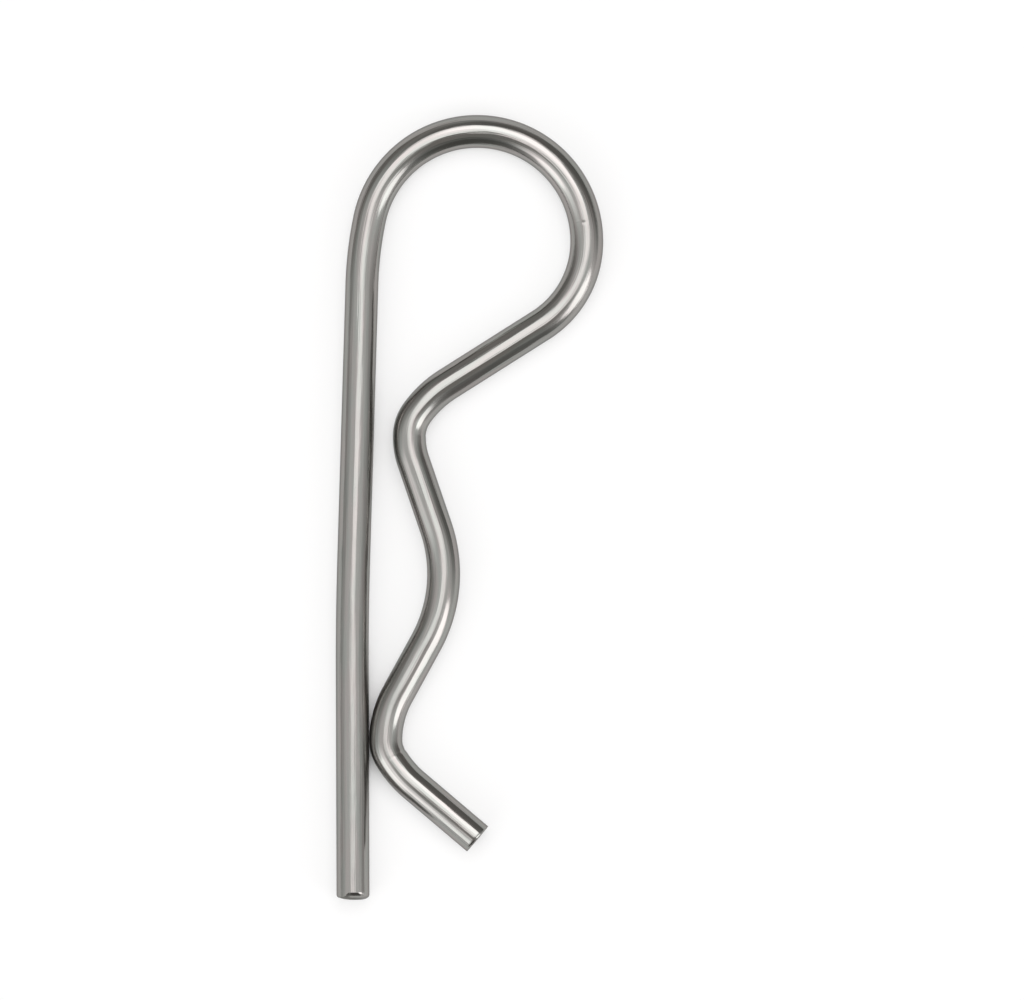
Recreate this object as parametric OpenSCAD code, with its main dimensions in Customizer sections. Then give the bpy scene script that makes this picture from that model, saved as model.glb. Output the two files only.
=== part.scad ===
// Hitch R clip, bent from one length of round spring wire.
// The straight leg goes through a cross hole in a shaft, and the sprung arm snaps
// round the outside of the shaft. A loop joins the two and is the spring.
// The clip lies flat: X runs across it, Y along the leg towards the loop, Z up.
// The origin is on the axis of the seated shaft, where it crosses the leg's centre
// line, down on the surface that the clip lies on.
// Every bend radius is an inside radius, as on a wire-form drawing.

/* [Wire] */
// Diameter of the round wire
wire_d = 4; // [3:0.1:5]

/* [Leg] */
// Straight length from the leg's cut end to its set
leg_end_run = 27.8; // [24:0.1:36]
// Radius of the gentle set that leans the leg into the loop
leg_set_r = 400; // [200:10:600]
// Angle of that set
leg_set_a = 1.9; // [0.5:0.1:4]
// Straight length from the set to the loop
leg_loop_run = 33.5; // [30:0.5:42]
// Rounding all round the leg's cut end
leg_end_round = 0.8; // [0.2:0.05:1.2]

/* [Loop] */
// Radius where the leg runs into the loop
loop_in_r = 44; // [30:1:60]
// Angle of that run-in
loop_in_a = 10; // [5:0.5:15]
// Radius of the loop itself
loop_r = 11.3; // [10:0.1:14]
// Radius where the loop closes towards the arm
loop_out_r = 10; // [8:0.5:13]
// Angle of that closing bend
loop_out_a = 55.5; // [40:0.5:70]

/* [Neck] */
// Gap between the leg and the neck, where the arm comes nearest to it above the shaft
neck_gap = 2.3; // [1.5:0.1:4]
// Radius of the neck's lead-in
neck_in_r = 11.7; // [8:0.1:15]
// Angle of the neck's lead-in
neck_in_a = 21.5; // [15:0.5:28]
// Radius of the tight bend in the neck
neck_r = 2.8; // [2:0.1:5]
// Angle of that tight bend
neck_a = 34.5; // [28:0.5:42]
// Radius of the neck's lead-out
neck_out_r = 7; // [5:0.1:10]
// Angle of the neck's lead-out
neck_out_a = 20.5; // [16:0.5:24]

/* [Bow] */
// Straight length from the neck to the bow
bow_in_run = 8.5; // [6:0.1:11]
// Radius of the bow that hugs the shaft
bow_r = 15.4; // [12:0.1:19]
// Angle of the bow
bow_a = 47.5; // [42:0.5:54]

/* [Grip] */
// Gap between the leg and the grip bend that snaps shut behind the shaft
grip_gap = 0.05; // [0.05:0.05:1.5]
// Radius of the grip's lead-in
grip_in_r = 9.5; // [7:0.1:12]
// Radius of the tight bend in the grip
grip_r = 2; // [1.5:0.1:4]
// Angle of that tight bend
grip_a = 30.5; // [24:0.5:38]
// Radius of the grip's lead-out
grip_out_r = 11.4; // [8:0.1:15]
// Angle of the grip's lead-out
grip_out_a = 19; // [12:0.5:26]

/* [Tail] */
// Straight length of the flared tail, which ends in a square cut
tail_run = 10.1; // [6:0.1:16]

/* [Hidden] */
$fn = 72;
wire_r = wire_d / 2;

// Lengths of wire that only touch end to end don't join up. So each one stops this far
// short of its ends, inside a knuckle: a ball that is this much wider than the wire.
hair = 0.02;

// The wire is a list of moves, from the leg's end to the tail's end. A move is
// [length, centre-line radius, angle]. A straight has no angle, and a bend turns
// left where its angle is positive.
function run(length) = [length, 0, 0];
function bend(inside_r, angle) = [0, inside_r + wire_r, angle];

// A pose is a place on the centre line and its heading there: [x, y, heading]
function advance(pose, move) =
    let (heading = pose[2], radius = move[1] * sign(move[2]), turned = heading + move[2])
    move[2] == 0
        ? [pose[0] + move[0] * cos(heading), pose[1] + move[0] * sin(heading), heading]
        : [pose[0] + radius * (sin(turned) - sin(heading)),
           pose[1] - radius * (cos(turned) - cos(heading)),
           turned];
function walk(pose, moves, i = 0) =
    i == len(moves) ? pose : walk(advance(pose, moves[i]), moves, i + 1);

// How far a pose lies to the right of the line through another one
function right_of(line, pose) =
    (pose[0] - line[0]) * sin(line[2]) - (pose[1] - line[1]) * cos(line[2]);

// The straight that has to go before some moves to end them that far right of a line
function run_to(pose, moves, line, offset) =
    run((offset - right_of(line, walk(pose, moves))) / sin(line[2] - pose[2]));

leg_end = [0, 0, 90];
leg = [run(leg_end_run), bend(leg_set_r, -leg_set_a), run(leg_loop_run)];
leg_top = walk(leg_end, leg);

// The loop turns the wire right round, until the neck can bring it back along the leg
loop_a = 180 + neck_in_a + neck_a - loop_in_a - loop_out_a;
loop = [bend(loop_in_r, -loop_in_a), bend(loop_r, -loop_a), bend(loop_out_r, -loop_out_a)];
loop_end = walk(leg_top, loop);

// The diagonal is as long as it takes for the neck to clear the leg by its gap
neck = [bend(neck_in_r, neck_in_a), bend(neck_r, neck_a)];
diagonal = run_to(loop_end, neck, leg_top, wire_d + neck_gap);
bow_in = [bend(neck_out_r, neck_out_a), run(bow_in_run)];
bow_start = walk(loop_end, concat([diagonal], neck, bow_in));
bow = bend(bow_r, -bow_a);
bow_end = advance(bow_start, bow);

// The grip's lead-in turns the wire along the leg, and the straight before it is as
// long as it takes for the grip to clear the leg by its gap
grip_in = bend(grip_in_r, -leg_end[2] - bow_end[2]);
grip_run = run_to(bow_end, [grip_in], leg_end, wire_d + grip_gap);
tail = [bend(grip_r, grip_a), bend(grip_out_r, grip_out_a), run(tail_run)];

moves = concat(leg, loop, [diagonal], neck, bow_in, [bow, grip_run, grip_in], tail);

// The shaft seats where the leg is nearest to the centre of the bow
bow_centre = [bow_start[0] + bow[1] * sin(bow_start[2]), bow_start[1] - bow[1] * cos(bow_start[2])];
leg_way = [cos(leg_top[2]), sin(leg_top[2])];
seat = [leg_top[0], leg_top[1]] + leg_way * ((bow_centre - [leg_top[0], leg_top[1]]) * leg_way);

// Each move is drawn setting out along +X, and what comes after it starts at its end
module at_end_of(move) {
    side = move[1] * sign(move[2]);
    if (move[2] == 0) translate([move[0], 0, 0]) children();
    else translate([0, side, 0]) rotate([0, 0, move[2]]) translate([0, -side, 0]) children();
}

module straight_wire(move) {
    translate([hair, 0, 0]) rotate([0, 90, 0]) cylinder(h = move[0] - 2 * hair, d = wire_d);
}

module bent_wire(move) {
    hair_a = hair / move[1] * 180 / PI;
    mirror([0, move[2] < 0 ? 1 : 0, 0])
        translate([0, move[1], 0])
            rotate([0, 0, hair_a - 90])
                rotate_extrude(angle = abs(move[2]) - 2 * hair_a)
                    translate([move[1], 0]) circle(d = wire_d);
}

module knuckle() {
    rotate([0, 90, 0]) sphere(d = wire_d + hair);
}

// The leg's end straight, with its cut end rounded off
module leg_end_wire(move) {
    rotate([0, 90, 0])
        rotate_extrude()
            difference() {
                square([wire_r, move[0] - hair]);
                translate([wire_r - leg_end_round, 0])
                    difference() {
                        square(leg_end_round);
                        translate([0, leg_end_round]) circle(r = leg_end_round);
                    }
            }
}

// The tail's end straight, which runs out to its square cut
module tail_end_wire(move) {
    translate([hair, 0, 0]) rotate([0, 90, 0]) cylinder(h = move[0] - hair, d = wire_d);
}

module wire_from(i) {
    if (i == 0) leg_end_wire(moves[i]);
    else if (i == len(moves) - 1) tail_end_wire(moves[i]);
    else if (moves[i][2] == 0) straight_wire(moves[i]);
    else bent_wire(moves[i]);
    if (i < len(moves) - 1)
        at_end_of(moves[i]) {
            knuckle();
            wire_from(i + 1);
        }
}

module clip() {
    color([0.74, 0.73, 0.71])
        translate([leg_end[0] - seat[0], leg_end[1] - seat[1], wire_r])
            rotate([0, 0, leg_end[2]])
                wire_from(0);
}

clip();
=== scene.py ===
import math

import bpy
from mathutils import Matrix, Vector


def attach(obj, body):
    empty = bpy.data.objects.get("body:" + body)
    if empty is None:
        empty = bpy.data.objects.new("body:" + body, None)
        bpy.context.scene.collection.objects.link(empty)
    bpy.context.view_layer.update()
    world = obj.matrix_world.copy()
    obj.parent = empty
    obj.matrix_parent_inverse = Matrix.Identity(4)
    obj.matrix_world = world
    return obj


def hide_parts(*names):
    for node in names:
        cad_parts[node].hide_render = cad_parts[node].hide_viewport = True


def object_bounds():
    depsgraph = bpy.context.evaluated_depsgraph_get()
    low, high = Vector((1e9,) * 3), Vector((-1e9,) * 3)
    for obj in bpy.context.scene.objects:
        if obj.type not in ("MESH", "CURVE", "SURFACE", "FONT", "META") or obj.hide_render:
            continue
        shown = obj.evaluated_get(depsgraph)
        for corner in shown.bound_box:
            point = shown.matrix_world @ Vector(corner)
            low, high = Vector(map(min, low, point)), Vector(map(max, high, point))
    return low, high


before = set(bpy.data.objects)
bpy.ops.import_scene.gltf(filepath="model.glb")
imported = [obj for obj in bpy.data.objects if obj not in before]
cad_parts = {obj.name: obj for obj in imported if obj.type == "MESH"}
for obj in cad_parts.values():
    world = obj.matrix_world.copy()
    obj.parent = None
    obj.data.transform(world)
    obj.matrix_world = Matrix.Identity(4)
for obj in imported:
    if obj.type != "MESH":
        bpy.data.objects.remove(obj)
cad_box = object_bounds()


# ---------------------------------------------------------------- the wire
# The whole clip is one length of round stainless spring wire, 4 mm thick. It is drawn
# through dies, cut, and bent cold round pins: a straight leg, the loop that is its
# spring, and the sprung arm with its neck, bow, grip and flared tail.
mm = 0.001
wire_d = 4.0 * mm
wire_r = wire_d / 2

leg_end_run = 27.8 * mm
leg_set_r, leg_set_a = 400 * mm, 1.9
leg_loop_run = 33.5 * mm
loop_in_r, loop_in_a = 44 * mm, 10
loop_r = 11.3 * mm
loop_out_r, loop_out_a = 10 * mm, 55.5
neck_gap = 2.3 * mm
neck_in_r, neck_in_a = 11.7 * mm, 21.5
neck_r, neck_a = 2.8 * mm, 34.5
neck_out_r, neck_out_a = 7 * mm, 20.5
bow_in_run = 8.5 * mm
bow_r, bow_a = 15.4 * mm, 47.5
grip_gap = 0.05 * mm
grip_in_r = 9.5 * mm
grip_r, grip_a = 2 * mm, 30.5
grip_out_r, grip_out_a = 11.4 * mm, 19
tail_run = 10.1 * mm


# The wire is a list of moves, from the leg's end to the tail's end: (length, radius,
# angle in degrees). A straight has no angle, and a bend turns left where it is positive.
def run(length):
    return (length, 0.0, 0.0)


def bend(inside_r, angle):
    return (abs(math.radians(angle)) * (inside_r + wire_r), inside_r + wire_r, angle)


# A pose is a place on the centre line and its heading there. A share below 1 stops
# part of the way through the move.
def advance(pose, move, share=1.0):
    x, y, heading = pose
    length, radius, angle = move
    if angle == 0:
        return (x + share * length * math.cos(heading), y + share * length * math.sin(heading), heading)
    side = math.copysign(radius, angle)
    turned = heading + math.radians(angle) * share
    return (x + side * (math.sin(turned) - math.sin(heading)),
            y - side * (math.cos(turned) - math.cos(heading)), turned)


def walk(pose, moves):
    for move in moves:
        pose = advance(pose, move)
    return pose


# How far a pose lies to the right of the line through another one
def right_of(line, pose):
    return (pose[0] - line[0]) * math.sin(line[2]) - (pose[1] - line[1]) * math.cos(line[2])


# The straight that has to go before some moves to end them that far right of a line
def run_to(pose, moves, line, offset):
    return run((offset - right_of(line, walk(pose, moves))) / math.sin(line[2] - pose[2]))


leg_end = (0.0, 0.0, math.radians(90))
leg = [run(leg_end_run), bend(leg_set_r, -leg_set_a), run(leg_loop_run)]
leg_top = walk(leg_end, leg)
loop_a = 180 + neck_in_a + neck_a - loop_in_a - loop_out_a
loop = [bend(loop_in_r, -loop_in_a), bend(loop_r, -loop_a), bend(loop_out_r, -loop_out_a)]
loop_end = walk(leg_top, loop)
neck = [bend(neck_in_r, neck_in_a), bend(neck_r, neck_a)]
diagonal = run_to(loop_end, neck, leg_top, wire_d + neck_gap)
bow_in = [bend(neck_out_r, neck_out_a), run(bow_in_run)]
bow_start = walk(loop_end, [diagonal] + neck + bow_in)
bow = bend(bow_r, -bow_a)
bow_end = advance(bow_start, bow)
grip_in = bend(grip_in_r, -90 - math.degrees(bow_end[2]))
grip_run = run_to(bow_end, [grip_in], leg_end, wire_d + grip_gap)
tail = [bend(grip_r, grip_a), bend(grip_out_r, grip_out_a), run(tail_run)]
moves = leg + loop + [diagonal] + neck + bow_in + [bow, grip_run, grip_in] + tail
wire_length = sum(move[0] for move in moves)

# The frame's origin is on the axis of the seated shaft
bow_centre = (bow_start[0] + bow[1] * math.sin(bow_start[2]),
              bow_start[1] - bow[1] * math.cos(bow_start[2]))
leg_way = (math.cos(leg_top[2]), math.sin(leg_top[2]))
past_top = sum((c - t) * w for c, t, w in zip(bow_centre, leg_top, leg_way))
start = (-leg_top[0] - past_top * leg_way[0], -leg_top[1] - past_top * leg_way[1], math.radians(90))


# The pose that far along the wire from the leg's end
def place(along):
    pose = start
    for move in moves[:-1]:
        if along <= move[0]:
            return advance(pose, move, along / move[0])
        along -= move[0]
        pose = advance(pose, move)
    return advance(pose, moves[-1], along / moves[-1][0])


# Knocks in the skin: how far along the wire, the angle round it (0 on the right of the
# way along, 90 on top), how long, how wide and how deep. The last two are the creases that
# bending leaves inside the tight bends of the grip and the neck.
marks = (
    (119.46 * mm, 83, 0.14 * mm, 0.20 * mm, 0.022 * mm),
    (119.20 * mm, 66, 0.05 * mm, 0.35 * mm, 0.004 * mm),
    (206.78 * mm, 26, 0.25 * mm, 0.07 * mm, 0.012 * mm),
    (185.69 * mm, 112, 0.12 * mm, 0.12 * mm, 0.006 * mm),
    (26.52 * mm, 5, 0.15 * mm, 0.15 * mm, 0.010 * mm),
    (196.55 * mm, 158, 0.14 * mm, 1.0 * mm, 0.060 * mm),
    (155.20 * mm, 176, 0.20 * mm, 1.0 * mm, 0.030 * mm),
)

# Where the leg and the grip rub together as the clip snaps shut, the skin is scuffed dull:
# how far along, the angle round the wire, and how long and wide
scuffs = (
    (20.3 * mm, 0, 6.0 * mm, 1.3 * mm),
    (192.0 * mm, 0, 6.0 * mm, 1.3 * mm),
)

# One ring of the wire's skin goes at each station, closer together in the bends and within
# a few lengths of a mark
ring_in_straight = 0.36 * mm
ring_in_bend = 0.2 * mm
ring_at_mark = 0.05 * mm
ring_reach = 3
wire_sides = 96
stations = []
along = 0.0
for move in moves:
    pitch = ring_in_bend if 0 < move[1] < leg_set_r else ring_in_straight
    count = max(1, round(move[0] / pitch))
    stations += [along + move[0] * i / count for i in range(count)]
    along += move[0]
for at, turn, long, wide, deep in marks:
    steps = math.ceil(ring_reach * long / ring_at_mark)
    stations = [station for station in stations if abs(station - at) > (steps + 1) * ring_at_mark]
    stations += [at + i * ring_at_mark for i in range(-steps, steps + 1)]
stations.sort()


def clamped(value):
    return min(1.0, max(0.0, value))


# The edge of a cut end is a line of corners from the skin to the face. Each one is how far
# it is from the end, and how deep under the skin. A rounded edge is a quarter of an
# ellipse, after a corner that holds the wire straight up to it.
edge_corners = 8


def rounded_edge(long, deep, held):
    turns = [math.radians(90) * i / (edge_corners - 2) for i in range(edge_corners - 1)]
    return [(long + held, 0.0)] + [(long * (1 - math.sin(t)), deep * (1 - math.cos(t))) for t in turns]


# The leg's end was nipped on top, in flats, and is tumbled round beside them. The tumbled
# edge is sharper away from the arm and softer towards it. The face leans back, from a
# little way under the centre line upwards. The nip is in degrees round the wire: its
# middle, how far it reaches to each side, and how far in it fades.
nipped = [(from_end * mm, under * mm) for from_end, under in (
    (1.04, 0.00), (0.99, 0.00), (0.94, 0.03), (0.78, 0.13),
    (0.61, 0.24), (0.46, 0.46), (0.32, 0.85), (0.26, 1.00))]
nip_middle, nip_half, nip_fade = 90, 27, 12
tumbled_long, tumbled_deep, tumbled_held = 0.55 * mm, 1.15 * mm, 0.06 * mm
shorter_away, shallower_near, softer_near = 0.9 * mm, 0.35 * mm, 0.8 * mm
face_lean, lean_under = 0.13, 1 * mm


# Both of these give the edge's corners, and how far the face's middle is from the end
def leg_end_edge(angle):
    side = max(0.0, math.sin(angle)) * math.cos(angle)
    long = tumbled_long + shorter_away * min(0.0, side)
    deep = tumbled_deep - shallower_near * math.cos(angle)
    held = tumbled_held + softer_near * max(0.0, side)
    nip = clamped((nip_half - abs(math.degrees(angle) - nip_middle)) / nip_fade)
    corners = []
    for (flat_from_end, flat_under), (from_end, under) in zip(nipped, rounded_edge(long, deep, held)):
        from_end += face_lean * max(0.0, lean_under + (wire_r - under) * math.sin(angle))
        corners.append((nip * flat_from_end + (1 - nip) * from_end, nip * flat_under + (1 - nip) * under))
    return corners, face_lean * lean_under


# The tail's end is sheared off from above: its edge is drawn down on top and sharp below
sharp_long, sharp_deep = 0.05 * mm, 0.04 * mm
drawn_long, drawn_deep, drawn_held = 0.40 * mm, 0.30 * mm, 0.2 * mm
drawn_falloff = 0.7


def tail_end_edge(angle):
    drawn_down = max(0.0, math.sin(angle)) ** drawn_falloff
    long, deep = sharp_long + drawn_long * drawn_down, sharp_deep + drawn_deep * drawn_down
    return rounded_edge(long, deep, drawn_held), 0.0


# The leg's end is rubbed dull round its edge, on the side away from the arm, and torn in
# the middle of its face. The tail's face is torn, and less so where the shear went in and
# burnished it. Torn skin is also painted dark, as painted shade for the dark band along
# each cut end, and the leg end's rubbed edge is partly so. Each starts at its from, and is
# full one fade further.
rub_from, rub_fade, rub_share, rub_torn_shaded = 0.12, 0.2, 0.05, 0.6
leg_torn_shaded_from, leg_torn_shaded_fade = 0.62, 0.12
tail_torn_shaded_from, tail_torn_shaded_fade = 0.45, 1 / 6
burnished_from, burnished_fade, burnish = 0.5 * mm, 0.3 * mm, 0.45


def leg_end_rubbed(angle, share):
    return clamped(share / rub_share) * clamped((-math.cos(angle) - rub_from) / rub_fade)


def leg_end_torn_shaded(angle, share):
    return max(clamped((share - leg_torn_shaded_from) / leg_torn_shaded_fade), rub_torn_shaded * leg_end_rubbed(angle, share))


def tail_end_torn_shaded(up, share):
    burnished = burnish * clamped((up - burnished_from) / burnished_fade)
    return clamped((share - tail_torn_shaded_from) / tail_torn_shaded_fade) * (1 - burnished)


# A row of the skin is a station, and at an end its share of the way round the cut edge,
# from 0 on the wire to 1 at the face's middle. An end's rows are least_step apart for the
# sweep, and are put in their places after it.
end_rings = 14
face_rings = 6
end_reach = 1.4 * mm
least_step = 0.01 * mm
end_rows = end_rings + face_rings + 1
edge_share = end_rings / (end_rings + face_rings)
rows = [(least_step * i, 1 - i / (end_rows - 1)) for i in range(end_rows)]
rows += [(station, 0.0) for station in stations if end_reach < station < wire_length - end_reach]
rows += [(wire_length - station, share) for station, share in reversed(rows[:end_rows])]

# The ring nearest to the face's middle is this small beside the face, and a cap closes it
pinhole = 0.02


# Where a ring of a cut end goes: how far from the end, and how far from the centre line
def end_point(edge, angle, share):
    corners, middle = edge(angle)
    from_end, under = corners[-1]
    if share > edge_share:
        left = max((1 - share) / (1 - edge_share), pinhole)
        return middle + left * (from_end - middle), left * (wire_r - under)
    at = share / edge_share * (len(corners) - 1)
    before = min(int(at), len(corners) - 2)
    step = at - before
    from_end, under = [(1 - step) * a + step * b for a, b in zip(corners[before], corners[before + 1])]
    return from_end, wire_r - under


line_mesh = bpy.data.meshes.new("centre_line")
line_points = []
for station, share in rows:
    x, y, heading = place(station)
    line_points.append((x, y, wire_r))
line_mesh.from_pydata(line_points, [(i, i + 1) for i in range(len(line_points) - 1)], [])
line_mesh.attributes.new("row", "INT", "POINT").data.foreach_set("value", list(range(len(rows))))
line = bpy.data.objects.new("centre_line", line_mesh)
bpy.context.scene.collection.objects.link(line)


# Adds one node to a tree. Its settings are properties or socket values, and its links are
# socket to source. A Mix node's sockets go by number: 2 and 3 are its A and B for a
# number, and 6 and 7 for a colour.
def add(tree, kind, settings={}, links={}):
    made = tree.nodes.new(kind)
    for name, value in settings.items():
        if isinstance(name, str) and hasattr(made, name):
            setattr(made, name, value)
        else:
            made.inputs[name].default_value = value
    for name, source in links.items():
        tree.links.new(source, made.inputs[name])
    return made


# The skin: a circle of the wire's diameter is carried along the centre line
skin = bpy.data.node_groups.new("wire_skin", "GeometryNodeTree")
skin.interface.new_socket("Centre line", in_out="INPUT", socket_type="NodeSocketGeometry")
skin.interface.new_socket("Wire diameter", in_out="INPUT", socket_type="NodeSocketFloat")
skin.interface.new_socket("Sides", in_out="INPUT", socket_type="NodeSocketInt")
skin.interface.new_socket("Finish", in_out="INPUT", socket_type="NodeSocketMaterial")
skin.interface.new_socket("Skin", in_out="OUTPUT", socket_type="NodeSocketGeometry")
given = add(skin, "NodeGroupInput").outputs
curve = add(skin, "GeometryNodeMeshToCurve", {}, {"Mesh": given["Centre line"]})
upright = add(skin, "GeometryNodeSetCurveNormal", {"mode": "Z_UP"}, {"Curve": curve.outputs["Curve"]})
half = add(skin, "ShaderNodeMath", {"operation": "MULTIPLY", 1: 0.5}, {0: given["Wire diameter"]})
circle = add(skin, "GeometryNodeCurvePrimitiveCircle", {},
             {"Resolution": given["Sides"], "Radius": half.outputs[0]})
swept = add(skin, "GeometryNodeCurveToMesh", {"Fill Caps": True},
            {"Curve": upright.outputs["Curve"], "Profile Curve": circle.outputs["Curve"]})
smooth = add(skin, "GeometryNodeSetShadeSmooth", {}, {"Geometry": swept.outputs["Mesh"]})
whole = add(skin, "GeometryNodeRealizeInstances", {}, {"Geometry": smooth.outputs["Geometry"]})
dressed = add(skin, "GeometryNodeSetMaterial", {},
              {"Geometry": whole.outputs["Geometry"], "Material": given["Finish"]})
add(skin, "NodeGroupOutput", {}, {0: dressed.outputs["Geometry"]})


# sRGB hex to a linear colour
def colour(code):
    def linear(c):
        return c / 12.92 if c <= 0.04045 else ((c + 0.055) / 1.055) ** 2.4
    return tuple(linear(int(code[i:i + 2], 16) / 255) for i in (1, 3, 5)) + (1.0,)


# Stainless spring steel, drawn bright and tumbled. It gives the eye a soft mirror, with
# hair lines along the wire that the dies left, and a slightly cloudy gloss.
steel = bpy.data.materials.new("drawn_stainless_steel")
steel.use_nodes = True
tree = steel.node_tree
tree.nodes.clear()
drawn = add(tree, "ShaderNodeAttribute", {"attribute_name": "drawn"}).outputs["Vector"]
cut = add(tree, "ShaderNodeAttribute", {"attribute_name": "cut"}).outputs["Fac"]
scuffed = add(tree, "ShaderNodeAttribute", {"attribute_name": "scuffed"}).outputs["Fac"]
# Die lines are a few hundredths of a millimetre apart. They are drawn 0.3 mm apart here,
# so that they show.
line_pitch, line_run = 0.3 * mm, 14 * mm
lines_at = add(tree, "ShaderNodeMapping", {"Scale": (1 / line_run, 1 / line_pitch, 1 / line_pitch)},
               {"Vector": drawn})
lines = add(tree, "ShaderNodeTexNoise", {"Scale": 1.0, "Detail": 2.0, "Roughness": 0.5},
            {"Vector": lines_at.outputs["Vector"]}).outputs["Fac"]
# Broad, shallow waves that straightening leaves
wave_pitch, wave_run = 1.0 * mm, 6 * mm
waves_at = add(tree, "ShaderNodeMapping", {"Scale": (1 / wave_run, 1 / wave_pitch, 1 / wave_pitch)},
               {"Vector": drawn})
waves = add(tree, "ShaderNodeTexNoise", {"Scale": 1.0, "Detail": 2.0, "Roughness": 0.5},
            {"Vector": waves_at.outputs["Vector"]}).outputs["Fac"]
# Clouds in the gloss, which tumbling leaves
cloud_pitch, cloud_run = 3 * mm, 10 * mm
clouds_at = add(tree, "ShaderNodeMapping",
                {"Scale": (1 / cloud_run, 1 / cloud_pitch, 1 / cloud_pitch)}, {"Vector": drawn})
clouds = add(tree, "ShaderNodeTexNoise", {"Scale": 1.0, "Detail": 3.0, "Roughness": 0.55},
             {"Vector": clouds_at.outputs["Vector"]}).outputs["Fac"]
gloss = add(tree, "ShaderNodeMapRange",
            {"From Min": 0.3, "From Max": 0.7, "To Min": 0.12, "To Max": 0.17}, {"Value": clouds})
grain = add(tree, "ShaderNodeMapRange",
            {"From Min": 0.3, "From Max": 0.7, "To Min": -0.015, "To Max": 0.02}, {"Value": lines})
rough = add(tree, "ShaderNodeMath", {"operation": "ADD"}, {0: gloss.outputs[0], 1: grain.outputs[0]})
# Scuffs are duller, and the torn faces of the cuts are dull and dark. Their darkness is
# partly their own grain and partly painted shade
scuffed_roughness, torn_roughness = 0.36, 0.45
duller = add(tree, "ShaderNodeMix", {"data_type": "FLOAT", 3: scuffed_roughness},
             {0: scuffed, 2: rough.outputs[0]})
roughness = add(tree, "ShaderNodeMix", {"data_type": "FLOAT", 3: torn_roughness},
                {0: cut, 2: duller.outputs[0]})
# The steel's tone wanders a little along the wire, from cool to warm
tone_pitch, tone_run = 0.6 * mm, 7 * mm
tones_at = add(tree, "ShaderNodeMapping", {"Scale": (1 / tone_run, 1 / tone_pitch, 1 / tone_pitch)},
               {"Vector": drawn})
tones = add(tree, "ShaderNodeTexNoise", {"Scale": 1.0, "Detail": 1.0, "Roughness": 0.5},
            {"Vector": tones_at.outputs["Vector"]}).outputs["Fac"]
warmth = add(tree, "ShaderNodeMapRange", {"From Min": 0.35, "From Max": 0.65}, {"Value": tones})
bright = add(tree, "ShaderNodeMix", {"data_type": "RGBA", 6: colour("#9a9b97"), 7: colour("#9f9b98")},
             {0: warmth.outputs[0]})
# The torn faces are grained like a broken edge. They are also painted darker than the
# steel, as painted shade for the dark band along each cut end
grains = add(tree, "ShaderNodeMapRange", {"From Min": 0.4, "From Max": 0.6}, {"Value": lines})
broken_and_shaded = add(tree, "ShaderNodeMix", {"data_type": "RGBA", 6: colour("#575550"), 7: colour("#7d7a75")},
             {0: grains.outputs[0]})
tint = add(tree, "ShaderNodeMix", {"data_type": "RGBA"},
           {0: cut, 6: bright.outputs[2], 7: broken_and_shaded.outputs[2]})
wave_height, line_height = 0.03 * mm, 0.03 * mm
ripple = add(tree, "ShaderNodeBump", {"Strength": 1.0, "Distance": wave_height}, {"Height": waves})
relief = add(tree, "ShaderNodeBump", {"Strength": 1.0, "Distance": line_height},
             {"Height": lines, "Normal": ripple.outputs["Normal"]})
metal = add(tree, "ShaderNodeBsdfPrincipled", {"Metallic": 1.0, "Specular Tint": colour("#b4b4b4")},
            {"Base Color": tint.outputs[2], "Roughness": roughness.outputs[0],
             "Normal": relief.outputs["Normal"]})
add(tree, "ShaderNodeOutputMaterial", {}, {"Surface": metal.outputs[0]})

sweep = line.modifiers.new("wire_skin", "NODES")
sweep.node_group = skin
sockets = {item.name: item.identifier for item in skin.interface.items_tree if item.in_out == "INPUT"}
sweep[sockets["Wire diameter"]] = wire_d
sweep[sockets["Sides"]] = wire_sides
sweep[sockets["Finish"]] = steel
depsgraph = bpy.context.evaluated_depsgraph_get()
wire_mesh = bpy.data.meshes.new_from_object(line.evaluated_get(depsgraph))
wire_mesh.name = "clip_wire"
bpy.data.objects.remove(line)
wire = bpy.data.objects.new("clip_wire", wire_mesh)
bpy.context.scene.collection.objects.link(wire)

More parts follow.
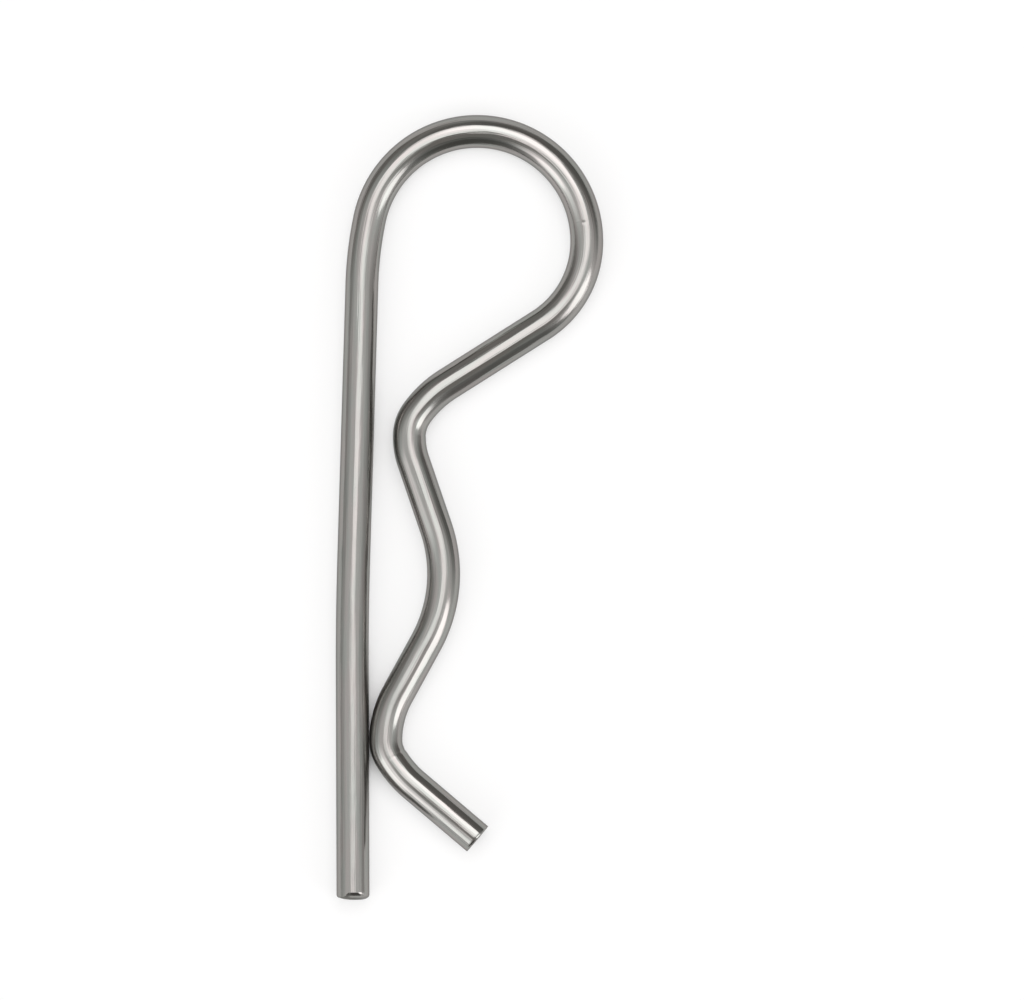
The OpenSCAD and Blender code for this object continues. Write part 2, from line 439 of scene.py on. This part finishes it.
# The skin's ends are closed over and the marks pressed in. Of the attributes, drawn says
# where each point was on the straight wire, before it was bent: along, across and up. The
# others say how torn the skin is, which also darkens it as painted shade, and how rubbed
# (scuffed) it is. A mark reaches this many of its lengths along the wire.
mark_reach = 3.5
row_of = [0] * len(wire_mesh.vertices)
wire_mesh.attributes["row"].data.foreach_get("value", row_of)
drawn_at, cut_at, scuffed_at = [], [], []
for vertex, row in zip(wire_mesh.vertices, row_of):
    station, share = rows[row]
    x, y, heading = place(station)
    across = (vertex.co.x - x) * math.sin(heading) - (vertex.co.y - y) * math.cos(heading)
    angle = math.atan2(vertex.co.z - wire_r, across)
    out = wire_r
    torn_shaded = rubbed = 0.0
    if row < end_rows:
        station, out = end_point(leg_end_edge, angle, share)
        torn_shaded, rubbed = leg_end_torn_shaded(angle, share), leg_end_rubbed(angle, share)
    elif row >= len(rows) - end_rows:
        from_end, out = end_point(tail_end_edge, angle, share)
        station = wire_length - from_end
        torn_shaded = tail_end_torn_shaded(out * math.sin(angle), share)
    for at, turn, long, wide, deep in marks:
        off = (station - at) / long
        if abs(off) < mark_reach:
            round_off = wire_r * math.remainder(angle - math.radians(turn), 2 * math.pi) / wide
            out -= deep * math.exp(-(off * off + round_off * round_off) / 2)
    for at, turn, long, wide in scuffs:
        off = (station - at) / long
        round_off = wire_r * math.remainder(angle - math.radians(turn), 2 * math.pi) / wide
        rubbed += math.exp(-(off * off + round_off * round_off) / 2)
    x, y, heading = place(station)
    across, up = out * math.cos(angle), out * math.sin(angle)
    vertex.co = (x + across * math.sin(heading), y - across * math.cos(heading), wire_r + up)
    drawn_at += [station, across, up]
    cut_at.append(torn_shaded)
    scuffed_at.append(clamped(rubbed))
wire_mesh.attributes.new("drawn", "FLOAT_VECTOR", "POINT").data.foreach_set("vector", drawn_at)
wire_mesh.attributes.new("cut", "FLOAT", "POINT").data.foreach_set("value", cut_at)
wire_mesh.attributes.new("scuffed", "FLOAT", "POINT").data.foreach_set("value", scuffed_at)
wire_mesh.update()

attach(wire, "root")
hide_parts("clip")


# ---------------------------------------------------------------- the floor
# A sheet of white acrylic on a table, as small things are often set out on. It is cast
# and glossy, so it mirrors the room where it is seen aslant, and its shadow is faint because
# part of it glows plain white where it is open.
floor_size = 3.0
floor_mesh = bpy.data.meshes.new("floor")
edge = floor_size / 2
corners = [(-edge, -edge, 0), (edge, -edge, 0), (edge, edge, 0), (-edge, edge, 0)]
floor_mesh.from_pydata(corners, [], [(0, 1, 2, 3)])
floor = bpy.data.objects.new("floor", floor_mesh)
bpy.context.scene.collection.objects.link(floor)
acrylic = bpy.data.materials.new("white_cast_acrylic")
acrylic.use_nodes = True
tree = acrylic.node_tree
tree.nodes.clear()
sheet = add(tree, "ShaderNodeBsdfPrincipled",
            {"Base Color": colour("#fafaf9"), "Roughness": 0.12, "IOR": 1.49})
# The sheet shows partly as plain white to the eye and in the steel, but not down in the
# crevices under the wire
white = add(tree, "ShaderNodeEmission", {"Strength": 1.0})
ray = add(tree, "ShaderNodeLightPath").outputs
mirrored = add(tree, "ShaderNodeMath", {"operation": "MAXIMUM"},
               {0: ray["Is Glossy Ray"], 1: ray["Is Transmission Ray"]})
seen = add(tree, "ShaderNodeMath", {"operation": "MAXIMUM"},
           {0: ray["Is Camera Ray"], 1: mirrored.outputs[0]})
crevice_reach = 5 * mm
openness = add(tree, "ShaderNodeAmbientOcclusion", {"samples": 8, "Distance": crevice_reach})
white_share = add(tree, "ShaderNodeMapRange",
                  {"From Min": 0.15, "From Max": 0.55, "To Min": 0.0, "To Max": 0.6},
                  {"Value": openness.outputs["AO"]})
seen_white = add(tree, "ShaderNodeMath", {"operation": "MULTIPLY"},
                 {0: seen.outputs[0], 1: white_share.outputs[0]})
shown = add(tree, "ShaderNodeMixShader", {},
            {0: seen_white.outputs[0], 1: sheet.outputs[0], 2: white.outputs[0]})
add(tree, "ShaderNodeOutputMaterial", {}, {"Surface": shown.outputs[0]})
floor_mesh.materials.append(acrylic)


# ---------------------------------------------------------------- the studio
# Three soft boxes stand round the clip: one overhead and behind it, and one low at each
# side in front. The room is pale, with dim patches where nothing lights its walls, and
# bright ones where the boxes spill.
middle = (sum(corner[0] for corner in cad_box) / 2, sum(corner[1] for corner in cad_box) / 2, wire_r)


# A direction by its azimuth and its height above the floor, in degrees
def from_above(azimuth, elevation):
    a, e = math.radians(azimuth), math.radians(elevation)
    return (math.cos(e) * math.cos(a), math.cos(e) * math.sin(a), math.sin(e))


# A soft box is a lit oval at this distance. Its width and height are the angles that it
# fills as the clip sees it, and its power is what gives it that radiance.
box_distance = 1.0


def soft_box(name, azimuth, elevation, wide, high, radiance, tone):
    way = from_above(azimuth, elevation)
    lamp = bpy.data.lights.new(name, "AREA")
    lamp.shape = "ELLIPSE"
    lamp.size = 2 * box_distance * math.tan(math.radians(wide / 2))
    lamp.size_y = 2 * box_distance * math.tan(math.radians(high / 2))
    lamp.energy = radiance * math.pi * (math.pi / 4 * lamp.size * lamp.size_y)
    lamp.color = colour(tone)[:3]
    box = bpy.data.objects.new(name, lamp)
    box.location = [m + box_distance * w for m, w in zip(middle, way)]
    box.rotation_euler = (math.radians(90 - elevation), 0, math.radians(azimuth + 90))
    box.visible_camera = False
    bpy.context.scene.collection.objects.link(box)


soft_box("overhead_box", 66, 63, 40, 25, 0.7, "#fffdff")
soft_box("right_box", -28, 33, 26, 39, 2.1, "#fffdff")
soft_box("left_box", -140, 28, 23, 37, 0.9, "#fffdff")

world = bpy.data.worlds.new("studio_room")
bpy.context.scene.world = world
world.use_nodes = True
tree = world.node_tree
tree.nodes.clear()
way = add(tree, "ShaderNodeTexCoord").outputs["Generated"]
# Each patch of the room: azimuth, elevation, how far from there it starts to fade and has
# faded into what is round it, in degrees, and how bright it is
patches = (
    (-83, 20, 1, 58, 0.14),
    (36, 6, 2, 58, 0.20),
    (84, 44, 16, 48, 0.21),
    (142, -4, 1, 63, 0.27),
    (-84, 67, 14, 24, 0.34),
    (83, 69, 18, 30.5, 2.35),
    (-141, 36, 3, 28, 1.9),
)
# The dim patches are a little warmer than the lit ones
lit_tone, dim_tone = colour("#fffeff"), colour("#fffdf8")
room_level = 0.97
room = add(tree, "ShaderNodeRGB")
room.outputs[0].default_value = (room_level, room_level, room_level, 1)
painted = room.outputs[0]
for azimuth, elevation, solid, faded, level in patches:
    nearness = add(tree, "ShaderNodeVectorMath",
                   {"operation": "DOT_PRODUCT", 1: from_above(azimuth, elevation)}, {0: way})
    patch = add(tree, "ShaderNodeMapRange",
                {"interpolation_type": "SMOOTHSTEP", "From Min": math.cos(math.radians(faded)),
                 "From Max": math.cos(math.radians(solid))}, {"Value": nearness.outputs["Value"]})
    red, green, blue, _ = lit_tone if level > 1 else dim_tone
    patched = add(tree, "ShaderNodeMix",
                  {"data_type": "RGBA", 7: (level * red, level * green, level * blue, 1)},
                  {0: patch.outputs[0], 6: painted})
    painted = patched.outputs[2]
glow = add(tree, "ShaderNodeBackground", {"Strength": 1.0}, {"Color": painted})
add(tree, "ShaderNodeOutputWorld", {}, {"Surface": glow.outputs[0]})


# ---------------------------------------------------------------- the camera
# It looks straight down through a long lens, with the clip a little to the left.
view_centre = (19.335 * mm, 9.061 * mm)
view_width = 124.24 * mm
view_turn = -0.198
camera_height = 1.2
lens = bpy.data.cameras.new("camera")
lens.sensor_width = 36
lens.lens = lens.sensor_width * camera_height / view_width
lens.clip_start, lens.clip_end = 0.05, 10
camera = bpy.data.objects.new("camera", lens)
camera.location = (view_centre[0], view_centre[1], wire_r + camera_height)
camera.rotation_euler = (0, 0, math.radians(view_turn))
bpy.context.scene.collection.objects.link(camera)
bpy.context.scene.camera = camera
bpy.context.scene.view_settings.view_transform = "Standard"
